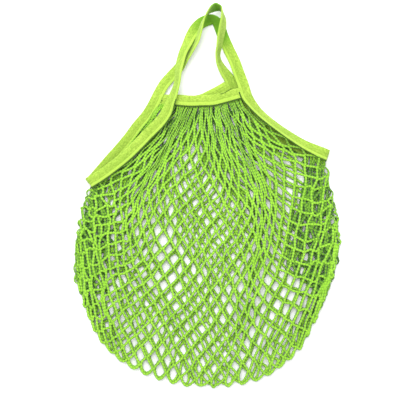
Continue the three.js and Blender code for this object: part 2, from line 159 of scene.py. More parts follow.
def unit(vectors):
    return vectors / np.linalg.norm(vectors, axis=-1, keepdims=True)


def lengths(points):
    """How far it is from each point of a line to the next."""
    return np.linalg.norm(np.diff(points, axis=-2), axis=-1)


def evenly(points, count):
    """The same line with its points at equal distances along it."""
    distance = np.concatenate([[0], np.cumsum(lengths(points))])
    wanted = np.linspace(0, distance[-1], count)
    return np.stack([np.interp(wanted, distance, points[:, axis]) for axis in range(3)], axis=1)


def smooth(points, samples, count):
    """Evenly spaced points on the smooth curve through a line."""
    return evenly(through(points, np.linspace(0, len(points) - 1, samples)), count)


# %% Middle line and tilt of the tape
TAPE_WIDTH = 16.0
TAPE_THICKNESS = 2.0
NEIGHBOURS = (-2, -1, 1, 2)
SMALL_STEP = 0.01
LENGTH_SAMPLES = 1200
tape_middle = np.array([row[:3] for row in stations]) + CAD_SHIFT


def inner_directions():
    """From the middle of the tape to its inner edge. A corner takes it from its neighbours."""
    count = len(stations)
    inner = np.zeros((count, 3))
    for index in np.flatnonzero(station_sides):
        near = index - 1 if station_sides[index - 1] else index
        far = index + 1 if station_sides[index + 1] else index
        run = unit((tape_middle[far] - tape_middle[near]) * FLAT)
        lift = math.radians(stations[index][3])
        inner[index] = np.cross(run, UP) * station_sides[index] * math.cos(lift) + UP * math.sin(lift)
    for index in np.flatnonzero(np.equal(station_sides, 0)):
        around = [(index + step) % count for step in NEIGHBOURS]
        inner[index] = unit(sum(inner[near] for near in around if station_sides[near]))
    return inner


tape_inner = inner_directions()


def tape_frame(positions):
    """Middle, direction to the inner edge and outer face of the tape."""
    before, middle, after = [
        through(tape_middle, positions + step, closed=True) for step in (-SMALL_STEP, 0, SMALL_STEP)
    ]
    along = unit(after - before)
    inner = through(tape_inner, positions, closed=True)
    inner = unit(inner - along * np.sum(inner * along, axis=-1, keepdims=True))
    return middle, inner, np.cross(inner, along)


def beside_tape(start, end, count, margin, rise):
    """Points a margin past the tape's inner edge and lifted off its face, and the way that face looks."""
    middle, inner, face = tape_frame(np.linspace(start, end, count))
    return middle + inner * (TAPE_WIDTH / 2 + margin) + face * rise, face


loop = through(tape_middle, np.linspace(0, len(stations), LENGTH_SAMPLES), closed=True)
print("length of the tape in mm:", round(lengths(loop).sum()))

# %% [markdown]
# ## The gathering bands
# Each band is a short flat tape that the top edge of the net is gathered onto. Its ends are sewn inside the
# folded tape, so its curve starts and ends a few millimetres inside the tape's edge.

# %% Middle lines of the bands
BAND_WIDTH = 15.0
BAND_TUCK = 3.0
BAND_END_HEIGHT = 11.5
BAND_SAMPLES = 200
FRONT_BAND_MIDDLE = [(-21, 135.3, 10.2), (-7, 135.9, 10.2), (10, 136.6, 10.2), (28, 141, 10.2)]
BACK_BAND_MIDDLE = [(-40, 137, 2), (-22, 135.5, 1.6), (-5, 138.5, 1.6), (5, 143.4, 1.7), (15, 148.4, 1.8)]
FRONT_BAND_ENDS = (FRONT_HANDLE_START + 0.5, RIGHT_FRONT_START - 0.38)
BACK_BAND_ENDS = (LEFT_BACK_START + 0.28, BACK_HANDLE_START + 0.42)


def band_line(ends, middle):
    left, right = beside_tape(*ends, 2, -BAND_TUCK, 0)[0]
    left[2] = min(left[2], BAND_END_HEIGHT)
    return np.vstack([left, np.array(middle) + CAD_SHIFT, right])


def below_band(line, count, margin, rise):
    """Points along the lower edge of a band, a margin past it and lifted."""
    points = smooth(line, BAND_SAMPLES, count)
    along = unit(np.gradient(points, axis=0) * FLAT)
    return points - np.cross(UP, along) * (BAND_WIDTH / 2 + margin) + UP * rise


front_band_line = band_line(FRONT_BAND_ENDS, FRONT_BAND_MIDDLE)
back_band_line = band_line(BACK_BAND_ENDS, BACK_BAND_MIDDLE)
print("front band runs from", front_band_line[0].round(1), "to", front_band_line[-1].round(1))

# %% [markdown]
# ## The net's edges
# The net is knitted from cotton chains that zigzag and join their neighbours, which leaves diamonds. It has
# the same number of half rows from the band to the bottom fold at every column. Its top is gathered onto the
# band, its sides are sewn to the tape as far as the corners, and below them front and back are one folded
# net. Some of its width is tucked in between the layers at both sides, which makes the sides look so full.

# %% Counts and edges of the net
DIAMONDS = 25
WIDTH_COLUMNS = 2 * DIAMONDS
HALF_ROWS = 29
SLIT_ROWS = 11
SEAM_TUCK = 1.0
SEAM_DEPTH = 1.4
SEAM_SAMPLES = 300
SEAM_START = 0.5
FOLD_HEIGHT = 5.0
FOLD_SAMPLES = 400
LEFT_FOLD = [(-175, -6), (-183, -24), (-187, -49), (-190, -78), (-190, -104), (-188, -124)]
RIGHT_FOLD = [
    (178, 34), (183.5, 11), (187, -14), (191, -42), (193, -71), (192, -89), (187, -107), (177, -136),
]
BOTTOM_FOLD = [
    (-188, -124), (-178, -150), (-168, -180), (-152, -210), (-123, -238.5), (-89, -257.5), (-52, -269.5),
    (-10, -276), (36, -274.5), (77, -265), (103, -250.5), (135, -223), (153, -193), (165, -165), (177, -136),
]
SIDE_INSET = 4.5
BOTTOM_INSET = 2.6
FRONT_CROWDING = 1.0
BACK_CROWDING = 0.95


def fold_line(points, count, inset):
    line = np.array([(x, y, FOLD_HEIGHT) for x, y in points], float)
    line[:, :2] -= unit(line[:, :2]) * inset
    return smooth(line + CAD_SHIFT, FOLD_SAMPLES, count)


def side_edge(start, end, fold, crowding):
    """Sewn inside the tape's inner edge as far as the corner, folded below. Crowding over 1 packs the top."""
    seam = evenly(beside_tape(start, end, SEAM_SAMPLES, -SEAM_TUCK, -SEAM_DEPTH)[0], SEAM_SAMPLES)
    seam = through(seam, (SEAM_SAMPLES - 1) * np.linspace(0, 1, SLIT_ROWS + 1) ** crowding)
    corner = tuple(seam[-1][:2] - CAD_SHIFT[:2])
    below = fold_line([corner, *fold], HALF_ROWS - SLIT_ROWS + 1, SIDE_INSET)
    return np.vstack([seam, below[1:]])


def layer_edges(line, side, left_seam, right_start, crowding):
    return {
        "top": below_band(line, WIDTH_COLUMNS + 1, -SEAM_TUCK, -side * SEAM_DEPTH),
        "left": side_edge(*left_seam, LEFT_FOLD, crowding),
        "right": side_edge(right_start, RIGHT_TURN, RIGHT_FOLD, crowding),
        "bottom": fold_line(BOTTOM_FOLD, WIDTH_COLUMNS + 1, BOTTOM_INSET),
    }


left_seam = (FRONT_BAND_ENDS[0] - SEAM_START, 0)
front_edges = layer_edges(front_band_line, 1, left_seam, FRONT_BAND_ENDS[1] + SEAM_START, FRONT_CROWDING)
left_seam = (BACK_BAND_ENDS[0] + SEAM_START, len(stations))
back_edges = layer_edges(back_band_line, -1, left_seam, BACK_BAND_ENDS[1] - SEAM_START, BACK_CROWDING)
print("half rows:", HALF_ROWS, "half columns:", WIDTH_COLUMNS)

# %% [markdown]
# ## Spreading the knots
# A knot is where two chains join. The knots of one layer are first spread evenly between its four edges. A
# net that was shaken out doesn't lie evenly, so each layer is then read off at shifted rows and columns:
# columns gather into loose pleats, slack slides down to the folded sides, and a slow seeded wander moves the
# rest. The back layer has also drifted by part of a diamond, so its strands show in the diamonds of the
# front. The tucked columns are read from the same layer, mirrored at the fold. Toward the bottom the tucks
# get narrow and end as a thin bundle along the edge.

# %% Even spread
LAST_ROW = 0.68
SIDE_POWER = 2.0
FRONT_SEED, BACK_SEED = 58, 24
random = np.random.default_rng(FRONT_SEED)
rows = np.arange(HALF_ROWS + 1)
row_places = np.append(rows[:-1], HALF_ROWS - 1 + LAST_ROW)
down = (row_places / row_places[-1])[:, None, None]
across = (np.arange(WIDTH_COLUMNS + 1) / WIDTH_COLUMNS)[:, None]


def even_spread(edges):
    """Even rows from top to bottom, bent to meet the side edges. The bend fades toward the middle."""
    straight = edges["top"] * (1 - down) + edges["bottom"] * down
    left = edges["left"][:, None] - straight[:, :1]
    right = edges["right"][:, None] - straight[:, -1:]
    return straight + left * (1 - across) ** SIDE_POWER + right * across ** SIDE_POWER


# %% Counts with the tucks, and how far a knot is from the edges
TUCK = 8
HALF_COLUMNS = WIDTH_COLUMNS + 2 * TUCK
LEFT_SIDE, RIGHT_SIDE = TUCK, TUCK + WIDTH_COLUMNS
TUCK_OPENING_ROWS = 4
THIN_ROWS = (19, 28)
THIN_TUCK = 0.4
FREE_ROWS, FREE_COLUMNS = 3, 4
DRIFT_ROWS = 8.0


def fade_from(distance, reach):
    return np.clip(distance / reach, 0, 1)


columns = np.arange(HALF_COLUMNS + 1)
places = columns - TUCK
inside = np.clip(places, 0, WIDTH_COLUMNS)
from_side = np.minimum(inside, WIDTH_COLUMNS - inside)
from_end = np.minimum(rows, HALF_ROWS - rows)
side_share = fade_from(from_side, FREE_COLUMNS)
inner_share = fade_from(from_end, FREE_ROWS)[:, None] * side_share
drift_share = fade_from(from_end, DRIFT_ROWS)[:, None] * side_share
opened = fade_from(rows - SLIT_ROWS, TUCK_OPENING_ROWS)[:, None]
tuck_depth = 1 - (1 - THIN_TUCK) * fade_from(rows - THIN_ROWS[0], THIN_ROWS[1] - THIN_ROWS[0])[:, None]
print("half columns tucked in at each side:", TUCK)

# %% Pleats, slack and wander
# Each pair: a column and the column of the even layer that it gathers to
FRONT_PLEATS = [(0, 0), (8.5, 10.2), (16.5, 15), (24, 27), (28.5, 31.2), (44, 41.2), (47, 44.8), (50, 50)]
BACK_PLEATS = [(0, 0), (6.5, 4.2), (14.8, 12.5), (25, 26), (33, 33.5), (43, 41.5), (50, 50)]
PLEAT_ROWS = (1, 20)
PLEAT_FADES = (4, 6)
FRONT_SLACK = 1.2
BACK_SLACK = 2.0
SLACK_COLUMNS = 5
SLIDE_START = 4
SLIDE_POWER = 1.6
FRONT_DRIFT = (0.0, 0.0)
BACK_DRIFT = (-0.3, -0.3)
WANDER_COLUMNS = 1.1
WANDER_ROWS = 0.6
WAVES = 7
FASTEST_WAVE = 0.5
RIGHT_SLIP = 4.0
SLIP_ROWS = (11, 17, 25)
SLIP_REACH = 14
CORNER_ROWS = 0.25
TUCK_ROWS = 0.6
END_ROWS = 4


def wander(amount):
    """A slow seeded wave over rows and columns that fades out at the edges."""
    total = np.zeros(inner_share.shape)
    for _ in range(WAVES):
        along_rows, along_columns = random.uniform(-FASTEST_WAVE, FASTEST_WAVE, 2)
        phase = random.uniform(0, 2 * math.pi)
        total += np.sin(along_rows * rows[:, None] + along_columns * inside + phase)
    return total * amount / math.sqrt(WAVES / 2) * inner_share


def shifted_columns(pleats, drift):
    """The column of the even layer at each knot. Below the right corner the net slips on around the fold."""
    first, last = PLEAT_ROWS
    amount = fade_from(rows - first, PLEAT_FADES[0]) * fade_from(last - rows, PLEAT_FADES[1])
    gathered = np.interp(inside, *np.transpose(pleats)) - inside
    moved = inside + amount[:, None] * gathered + wander(WANDER_COLUMNS) + drift * drift_share
    moved = np.clip(moved, 0, WIDTH_COLUMNS) + opened * tuck_depth * (places - inside)
    begin, full, end = SLIP_ROWS
    slip = (fade_from(rows - begin, full - begin) * fade_from(end - rows, end - full))[:, None]
    near_right = fade_from(SLIP_REACH - WIDTH_COLUMNS + places, SLIP_REACH)
    return moved + slip * RIGHT_SLIP * near_right


def shifted_rows(slack, drift):
    """Rows slide down beside the seams, where the way is shorter. Tucked rows lie between the others."""
    sideways_share = np.abs(2 * inside / WIDTH_COLUMNS - 1) ** 2 * fade_from(from_side, SLACK_COLUMNS)
    slide = np.sin(math.pi * fade_from(rows - SLIDE_START, HALF_ROWS - SLIDE_START) ** SLIDE_POWER)
    moved = rows[:, None] + slack * slide[:, None] * sideways_share + wander(WANDER_ROWS)
    moved += drift * drift_share
    tucked_by = np.abs(places - inside)
    moved -= tucked_by * CORNER_ROWS * (1 - opened)
    moved += TUCK_ROWS * opened * (tucked_by > 0) * fade_from(HALF_ROWS - rows, END_ROWS)[:, None]
    return np.clip(moved, 0, HALF_ROWS)


def read_layer(even, row_at, column_at):
    """Points of the even layer at fractional rows and columns."""
    row = np.clip(np.floor(row_at).astype(int), 0, HALF_ROWS - 1)
    column = np.clip(np.floor(column_at).astype(int), 0, WIDTH_COLUMNS - 1)
    row_share = (row_at - row)[..., None]
    column_share = (column_at - column)[..., None]
    upper, lower = [
        even[at, column] * (1 - column_share) + even[at, column + 1] * column_share for at in (row, row + 1)
    ]
    return upper * (1 - row_share) + lower * row_share


# %% Lay out both layers
FRONT_HEIGHT = 7.4
BACK_HEIGHT = 1.9
TUCK_HEIGHT = 1.3
HEIGHT_BUMPS = 0.7
FAN_BUMPS = 1.5
FAN_ROWS = 7
RISING_COLUMNS = 3


def layer_heights(edges, from_fold, height, facing):
    """The layer's own height in the open, a seam's height where it is sewn and half way up at a fold."""
    seam = np.where(places < DIAMONDS, edges["left"][:, 2:], edges["right"][:, 2:])
    bump = HEIGHT_BUMPS + FAN_BUMPS * fade_from(FAN_ROWS - rows, FAN_ROWS)[:, None]
    bumpy = height + random.normal(0, 1, from_fold.shape) * bump
    in_open = seam + (bumpy - seam) * np.sqrt(fade_from(from_fold, RISING_COLUMNS))
    in_tuck = FOLD_HEIGHT + facing * TUCK_HEIGHT * fade_from(-from_fold, 1)
    in_tuck[:, [0, -1]] = FOLD_HEIGHT
    level = np.where(from_fold < 0, in_tuck, in_open)
    end = np.where(rows[:, None] < HALF_ROWS / 2, edges["top"][inside, 2], FOLD_HEIGHT)
    return end + (level - end) * np.sqrt(fade_from(from_end, END_ROWS))[:, None]


def lay_out(edges, pleats, slack, drift, height, facing):
    """Knots of one layer, and how many columns each lies inside the fold, less than none where tucked in."""
    column_at = shifted_columns(pleats, drift[0])
    from_fold = np.minimum(column_at, WIDTH_COLUMNS - column_at)
    mirrored = np.where(column_at < 0, -column_at, np.minimum(column_at, 2 * WIDTH_COLUMNS - column_at))
    layer = read_layer(even_spread(edges), shifted_rows(slack, drift[1]), mirrored)
    layer[0, LEFT_SIDE:RIGHT_SIDE + 1] = edges["top"]
    layer[:SLIT_ROWS + 1, LEFT_SIDE] = edges["left"][:SLIT_ROWS + 1]
    layer[:SLIT_ROWS + 1, RIGHT_SIDE] = edges["right"][:SLIT_ROWS + 1]
    layer[..., 2] = layer_heights(edges, from_fold, height, facing)
    return layer.reshape(-1, 3), from_fold.ravel()


front = lay_out(front_edges, FRONT_PLEATS, FRONT_SLACK, FRONT_DRIFT, FRONT_HEIGHT, 1)
random = np.random.default_rng(BACK_SEED)
back = lay_out(back_edges, BACK_PLEATS, BACK_SLACK, BACK_DRIFT, BACK_HEIGHT, -1)
layout, from_fold = [np.concatenate(both) for both in zip(front, back)]
print("places laid out in both layers:", len(layout))

# %% [markdown]
# ## Letting the knots settle
# Cotton chains bend easily and hardly stretch. The relaxation below repeats three small moves: each knot
# drifts toward the middle of its neighbours and toward the layout, a strand that is too long pulls its ends
# together, and neighbouring knots push apart by about a chain's width. The knots on the edges stay where they
# are sewn or folded. Two nets that lie on each other also nest: a knot of the back slides toward the middle
# of the nearest front diamond. This fades toward the bottom fold, where the layers are one net and lie strand
# on strand. At the end each free knot is nudged at random, most in the tucks, because no real net lies even.

# %% Number the knots and strands
HELD_COLUMNS = 2.0
LOOSE_COLUMNS = 4
is_knot = (rows[:, None] + columns) % 2 == 0
in_width = (columns >= LEFT_SIDE) & (columns <= RIGHT_SIDE)
in_use = is_knot & (in_width | (rows[:, None] >= SLIT_ROWS))
number_front = np.arange(is_knot.size).reshape(is_knot.shape)
number_back = number_front + is_knot.size
number_back[-1] = number_front[-1]
number_back[SLIT_ROWS + 1:, [0, -1]] = number_front[SLIT_ROWS + 1:, [0, -1]]


def for_knots(grid):
    """A value for each row and column as one for each knot of both layers."""
    return np.tile(np.broadcast_to(grid, is_knot.shape).ravel(), 2)


at_edge = np.zeros(is_knot.shape, bool)
at_edge[[0, HALF_ROWS - 1, HALF_ROWS], :] = True
at_edge[:SLIT_ROWS + 1, [LEFT_SIDE, RIGHT_SIDE]] = True
at_edge[:SLIT_ROWS + 1] |= ~in_width
at_edge[SLIT_ROWS + 1:, [0, HALF_COLUMNS]] = True
sewn = for_knots(at_edge)
below_corner = for_knots(rows[:, None] > SLIT_ROWS)
held = sewn | (below_corner & (np.abs(from_fold) < HELD_COLUMNS))

strand_ends = []
side_pairs = []
for number in (number_front, number_back):
    for row, column in np.argwhere(in_use):
        for beside in (column - 1, column + 1):
            if row < HALF_ROWS and 0 <= beside <= HALF_COLUMNS and in_use[row + 1, beside]:
                strand_ends.append((number[row, column], number[row + 1, beside]))
        if column + 2 <= HALF_COLUMNS and in_use[row, column + 2]:
            side_pairs.append((number[row, column], number[row, column + 2]))
strand_ends = np.array(strand_ends)
side_pairs = np.array(side_pairs)
hole_corners = np.array([
    [number_front[row + down_by, column + over_by] for down_by, over_by in ((-1, 0), (1, 0), (0, -1), (0, 1))]
    for row, column in np.argwhere(~is_knot)
    if 0 < row < HALF_ROWS and LEFT_SIDE < column < RIGHT_SIDE
])
loose = np.setdiff1d(number_back[in_use], np.flatnonzero(held | (from_fold < LOOSE_COLUMNS)))
print("strands:", len(strand_ends), "knots that can nest:", len(loose))

# %% Relax the knots in the plane
STRAND = 16.0
RELAX_ROUNDS = 400
SMOOTHING = 0.05
KEEP_LAYOUT = 0.012
LEAST_PITCH = 3.0
LEAST_LENGTH = 0.01
PULL = 0.3
NEST = 0.02
NEST_EVERY = 20
NEST_ROWS = (16, 25)
KNOT_JITTER = 1.2
TUCK_JITTER = 3.4
STRIP_JITTER = 2.2
JITTER_COLUMNS = 7

knots = layout.copy()
loose_rows = loose % is_knot.size // (HALF_COLUMNS + 1)
nest_share = NEST * fade_from(NEST_ROWS[1] - loose_rows, NEST_ROWS[1] - NEST_ROWS[0])[:, None]
degree = np.bincount(strand_ends.ravel(), minlength=len(knots))[:, None].clip(1)
for relax_round in range(RELAX_ROUNDS):
    flat = knots[:, :2]
    if relax_round % NEST_EVERY == 0:
        holes = flat[hole_corners].mean(axis=1)
        away = np.linalg.norm(flat[loose][:, None] - holes, axis=2)
        nearest = holes[away.argmin(axis=1)]
    total = np.zeros_like(flat)
    np.add.at(total, strand_ends[:, 0], flat[strand_ends[:, 1]])
    np.add.at(total, strand_ends[:, 1], flat[strand_ends[:, 0]])
    move = SMOOTHING * (total / degree - flat) + KEEP_LAYOUT * (layout[:, :2] - flat)
    move[loose] += nest_share * (nearest - flat[loose])
    for ends, limit, sign in ((strand_ends, STRAND, 1), (side_pairs, LEAST_PITCH, -1)):
        gap = flat[ends[:, 1]] - flat[ends[:, 0]]
        length = np.linalg.norm(gap, axis=1, keepdims=True).clip(LEAST_LENGTH)
        over = np.maximum(sign * (length - limit), 0) * sign / length * gap * PULL
        np.add.at(move, ends[:, 0], over)
        np.add.at(move, ends[:, 1], -over)
    knots[:, :2] += np.where(held[:, None], 0, move)
jitter = np.where(below_corner & (from_fold < JITTER_COLUMNS), STRIP_JITTER, KNOT_JITTER) * ~held
jitter = np.where(from_fold < 0, TUCK_JITTER * for_knots(tuck_depth) ** 2, jitter) * ~sewn
knots[:, :2] += random.normal(0, 1, (len(knots), 2)) * jitter[:, None]
chords = lengths(knots[strand_ends][..., :2])
print("strand chords in mm: mean", chords.mean().round(1), "longest", chords.max().round(1))

# %% [markdown]
# ## Chains between the knots
# Each chain starts at the front band, or at the corner if it is tucked in, zigzags down the front, crosses
# the bottom fold and zigzags up the back. At a knot it runs side by side with its neighbour. At the fold it
# keeps its direction, so the two chains that meet there cross from front to back and leave a round loop along
# the edge. Where its knots lie closer together than a strand is long, the strand bows and curls.

# %% Join the knots into chains
TURN_NOISE = math.radians(14)
NOT_ZERO = 1e-6
chain_ids = np.arange(HALF_COLUMNS)
columns_down = chain_ids[:, None] + (rows + chain_ids[:, None]) % 2
partner = np.where(columns_down[:, -1] > chain_ids, chain_ids + 1, chain_ids - 1)
partner = np.clip(partner, 0, HALF_COLUMNS - 1)
chain_columns = np.concatenate([columns_down, columns_down[partner][:, -2::-1]], axis=1)
row_order = np.concatenate([rows, rows[-2::-1]])
stops = len(row_order)
on_front = np.arange(stops) <= HALF_ROWS
layer_sign = np.where(on_front, 1.0, -1.0)


def at_stops(front, back):
    """Values for the knots of both layers, read along every chain."""
    return np.where(on_front, front[row_order, chain_columns], back[row_order, chain_columns])


chain_numbers = at_stops(number_front, number_back)
stop_points = knots[chain_numbers]
stop_from_fold = from_fold[chain_numbers]
tucked = stop_from_fold < 0

wale = np.empty_like(stop_points)
wale[:, 1:-1] = stop_points[:, 2:] - stop_points[:, :-2]
wale[:, 0], wale[:, -1] = wale[:, 1], wale[:, -2]
wale = unit(wale + NOT_ZERO)
sideways = unit(np.cross(UP, wale) * (layer_sign * np.where(tucked, -1.0, 1.0))[..., None])
turn = random.normal(0, TURN_NOISE, wale.shape[:2])[..., None]
wale = wale * np.cos(turn) + sideways * np.sin(turn)

# %% Offset the two chains of a knot
KNOT_OFFSET = 1.05
KNOT_RISE = 1.2
LOOP_SPREAD = 1.0
own_chain = np.where(on_front, chain_ids[:, None], partner[:, None])
chain_side = np.where(chain_columns == own_chain, 1.0, -1.0)
at_seam = (chain_columns == LEFT_SIDE) | (chain_columns == RIGHT_SIDE)
at_seam &= row_order <= SLIT_ROWS
at_seam |= (chain_columns == 0) | (chain_columns == HALF_COLUMNS)
at_seam[:, HALF_ROWS] = True
toward_middle = np.abs(chain_columns - HALF_COLUMNS / 2) > np.abs(own_chain + 0.5 - HALF_COLUMNS / 2)
rise = (np.where(toward_middle, 1.0, -1.0) * layer_sign)[..., None]
offset = np.where(at_seam[..., None], UP * rise * KNOT_RISE, sideways * chain_side[..., None] * KNOT_OFFSET)
outward = unit(stop_points[:, HALF_ROWS] * FLAT)
offset[:, HALF_ROWS] += outward * rise[:, HALF_ROWS] * LOOP_SPREAD
passing = stop_points + offset

# %% First shape of the strands
LINKS = 5
SWING = 5.0
LOOP_SWING = 10.0
BOW_NOISE = 1.1
FOLD_BOW = 2.5
TINY = 1e-9
shares = np.linspace(0, 1, LINKS + 1)[:-1]
at_loop = np.arange(stops) == HALF_ROWS
swing = wale * np.where(at_loop, LOOP_SWING, SWING)[:, None]
begin, end = passing[:, :-1], passing[:, 1:]
strands = np.stack([cubic(begin, end, swing[:, :-1], swing[:, 1:], share) for share in shares], axis=2)
normal = unit(np.cross(UP, end - begin) + TINY)[:, :, None]
for waves in (1, 2):
    size = random.normal(0, BOW_NOISE, strands.shape[:2])[:, :, None, None]
    strands += normal * size * np.sin(waves * math.pi * shares)[:, None]
fold_bow = FOLD_BOW * (tucked[:, 1:] != tucked[:, :-1]) * np.sign(end[..., 0])
strands[..., 0] += fold_bow[..., None] * np.sin(math.pi * shares)
lines = np.concatenate([strands.reshape(HALF_COLUMNS, -1, 3), passing[:, -1:]], axis=1)
print("points along a chain:", lines.shape[1])

# %% How long each strand is
SLACK_SHARE = 0.3
TUCK_SLACK = 0.3
MOST_SLACK = 1.6
TUCK_MOST_SLACK = 1.25
SPARE = 1.0
STRIP_COLUMNS = 8
STRIP_FADE = 4
FOLDED_ROWS = (-2, 3)
BESIDE_COLUMNS = 2


def strand_lengths():
    """A strand shows all its slack at the folded sides, some in the middle and hardly any at a seam."""
    chord = lengths(passing[..., :2])
    near_fold = np.abs(stop_from_fold)[:, :-1]
    folded = fade_from(row_order[:-1] - SLIT_ROWS - FOLDED_ROWS[0], FOLDED_ROWS[1])
    in_strip = fade_from(STRIP_COLUMNS - near_fold, STRIP_FADE) * folded
    beside_seam = fade_from(BESIDE_COLUMNS - near_fold, 1) * (1 - folded)
    in_strip = np.where(tucked[:, :-1], TUCK_SLACK, 1) * in_strip
    share = (SLACK_SHARE + (1 - SLACK_SHARE) * in_strip) * (1 - beside_seam)
    most = np.where(tucked[:, :-1], TUCK_MOST_SLACK, MOST_SLACK)
    return np.minimum(chord + share * np.maximum(STRAND - chord, 0), most * chord + SPARE)


# %% Let the strands curl
YARN = 3.85
STITCH_SWELL = 0.18
FLOOR_GAP = 0.1
CURL_ROUNDS = 260
STIFFNESS = 0.12
KNOT_STIFFNESS = 0.03
KEEP_KNOTS = 0.06

link_lengths = np.repeat(strand_lengths() / LINKS, LINKS, axis=1)[..., None]
knot_at = np.arange(stops) * LINKS
flat = lines[..., :2].copy()
knot_home = flat[:, knot_at].copy()
free_stops = np.where(held[chain_numbers], 0, 1)[..., None]
stiffness = np.full(flat.shape[1], STIFFNESS)
stiffness[knot_at] = np.where(at_loop, STIFFNESS, KNOT_STIFFNESS)
stiffness = stiffness[1:-1, None]
for _ in range(CURL_ROUNDS):
    move = np.zeros_like(flat)
    link = np.diff(flat, axis=1)
    length = np.linalg.norm(link, axis=2, keepdims=True).clip(LEAST_LENGTH)
    pull = PULL * (1 - link_lengths / length) * link
    move[:, :-1] += pull
    move[:, 1:] -= pull
    bow = stiffness * ((flat[:, :-2] + flat[:, 2:]) / 2 - flat[:, 1:-1])
    move[:, 1:-1] += bow
    move[:, :-2] -= bow / 2
    move[:, 2:] -= bow / 2
    move[:, knot_at] += KEEP_KNOTS * (knot_home - flat[:, knot_at])
    move[:, knot_at] *= free_stops
    flat += move
lines[..., :2] = flat
lines[..., 2] = np.maximum(lines[..., 2], YARN / 2 * (1 + STITCH_SWELL) + FLOOR_GAP)
first_stop, unused_stops = [
    np.where((ids >= LEFT_SIDE) & (ids < RIGHT_SIDE), 0, SLIT_ROWS) for ids in (chain_ids, partner)
]
last_stop = stops - 1 - unused_stops
used = [slice(first * LINKS, last * LINKS + 1) for first, last in zip(first_stop, last_stop)]
chains = [line[part] for line, part in zip(lines, used)]
print("chains:", len(chains), "points:", sum(len(chain) for chain in chains))

# %% [markdown]
# ## Crowded chains
# Loose cotton gives way. Where the net is gathered, its chains are squeezed thin, so the width of the diamond
# at each knot sets how thick they are there. A chain that lies under others gets little light, and its colour
# is darkened there as painted shade. How much lies above each point is counted in a coarse grid of small
# boxes.

# %% Thickness and shade along the chains
THINNEST = 0.45
GAP = 0.55
BOX = np.array([4.0, 4.0, 1.0])
BOX_MARGIN = np.array([1, 1, 0])
BOXES_ABOVE = 2
SHADE_START = 6.0
SHADE_FULL = 11.0
TUCK_SHADE = 0.6
FAN_SHADE = 0.3


def diamond_widths(number):
    """Width of the diamonds beside each knot of one layer."""
    points = knots[number]
    width = np.linalg.norm(points[:, 4:, :2] - points[:, :-4, :2], axis=2) / 2
    return np.pad(width, ((0, 0), (2, 2)), mode="edge")


def along_chains(values):
    """Values at the stops, spread over the points of each chain."""
    along = np.arange(lines.shape[1]) / LINKS
    return [np.interp(along, np.arange(stops), row)[part] for row, part in zip(values, used)]


stop_widths = at_stops(diamond_widths(number_front), diamond_widths(number_back))
stop_thickness = np.clip((stop_widths / 2 - GAP) / YARN, THINNEST, 1)
squeezed = (1 - stop_thickness) / (1 - THINNEST)
# Painted shade also for tucked chains and, at random, for squeezed ones
stop_shade = fade_from(-stop_from_fold, 1) * TUCK_SHADE
stop_shade = stop_shade + squeezed * random.uniform(0, FAN_SHADE, squeezed.shape)
thickness = along_chains(stop_thickness)

every_point = np.concatenate(chains)
boxes = ((every_point - every_point.min(axis=0)) / BOX).astype(int) + BOX_MARGIN
filled = np.zeros(boxes.max(axis=0) + BOX_MARGIN + [1, 1, BOXES_ABOVE + 1])
np.add.at(filled, tuple(boxes.T), 1)
around = sum(np.roll(filled, (x, y), axis=(0, 1)) for x in (-1, 0, 1) for y in (-1, 0, 1))
above = np.cumsum(around[:, :, ::-1], axis=2)[:, :, ::-1]
buried = above[boxes[:, 0], boxes[:, 1], boxes[:, 2] + BOXES_ABOVE]
shade = fade_from(buried - SHADE_START, SHADE_FULL) + np.concatenate(along_chains(stop_shade))
shade = np.split(np.clip(shade, 0, 1), np.cumsum([len(chain) for chain in chains])[:-1])
print("thinnest chain in mm:", (min(map(min, thickness)) * YARN).round(1))

# %% [markdown]
# ## Cotton finishes
# All pieces are the same lime cotton, and they vary a little in tone, because dye takes unevenly. The yarn is
# a crocheted chain: it shows its twist, and its colour holds painted shade, darker at the waist between two
# stitches, at its sides and where it is buried. The tape is woven with slubs. It is folded over the edge of
# the net; along its sewn edge its colour has a paler strip, a painted highlight, then painted shade in a
# stitched groove beside the strip and softly in a band next to that. Where it turns over at the top of a
# handle, it is lit only by the cotton around it, and its colour is darkened there as painted shade.
# The patterns follow attributes that the sweeps store along and around each piece, so they bend with it.
# Cotton scatters light softly, which the sheen gives.

# %% Node helpers
def set_inputs(tree, node, *numbered, **named):
    """Sets or links inputs of a node, by number or by name with _ for a space."""
    for name, value in [*enumerate(numbered), *named.items()]:
        socket = node.inputs[name if isinstance(name, int) else name.replace("_", " ")]
        if isinstance(value, bpy.types.NodeSocket):
            tree.links.new(value, socket)
        else:
            socket.default_value = value


def add_node(tree, kind, *numbered, **named):
    """Adds a node. Names in lower case are its settings, all others its inputs."""
    made = tree.nodes.new(kind)
    for name in filter(str.islower, list(named)):
        setattr(made, name, named.pop(name))
    set_inputs(tree, made, *numbered, **named)
    return made


def maths(tree, operation, *values):
    return add_node(tree, "ShaderNodeMath", *values, operation=operation).outputs[0]


def attribute(tree, name):
    return add_node(tree, "ShaderNodeAttribute", attribute_name=name).outputs["Fac"]


# %% Pattern helpers
def noise(tree, place, scale, detail):
    return add_node(tree, "ShaderNodeTexNoise", Vector=place, Scale=scale, Detail=detail).outputs["Fac"]


def turns_along(tree, name, length):
    """An attribute as an angle that makes one turn in each length."""
    return maths(tree, "MULTIPLY", attribute(tree, name), 2 * math.pi / length)


def distance_from(tree, value, place):
    return maths(tree, "ABSOLUTE", maths(tree, "SUBTRACT", value, place))


def mix(tree, share, colour, other):
    return add_node(tree, "ShaderNodeMix", Factor=share, A=colour, B=other, data_type="RGBA").outputs[2]


def tint(tree, colour, other, value, none_at, most_at, most):
    """Mixes in another colour by a value, from where it gives none to where it gives most."""
    share = add_node(
        tree, "ShaderNodeMapRange", Value=value, From_Min=none_at, From_Max=most_at, To_Max=most
    ).outputs[0]
    return mix(tree, share, colour, other)


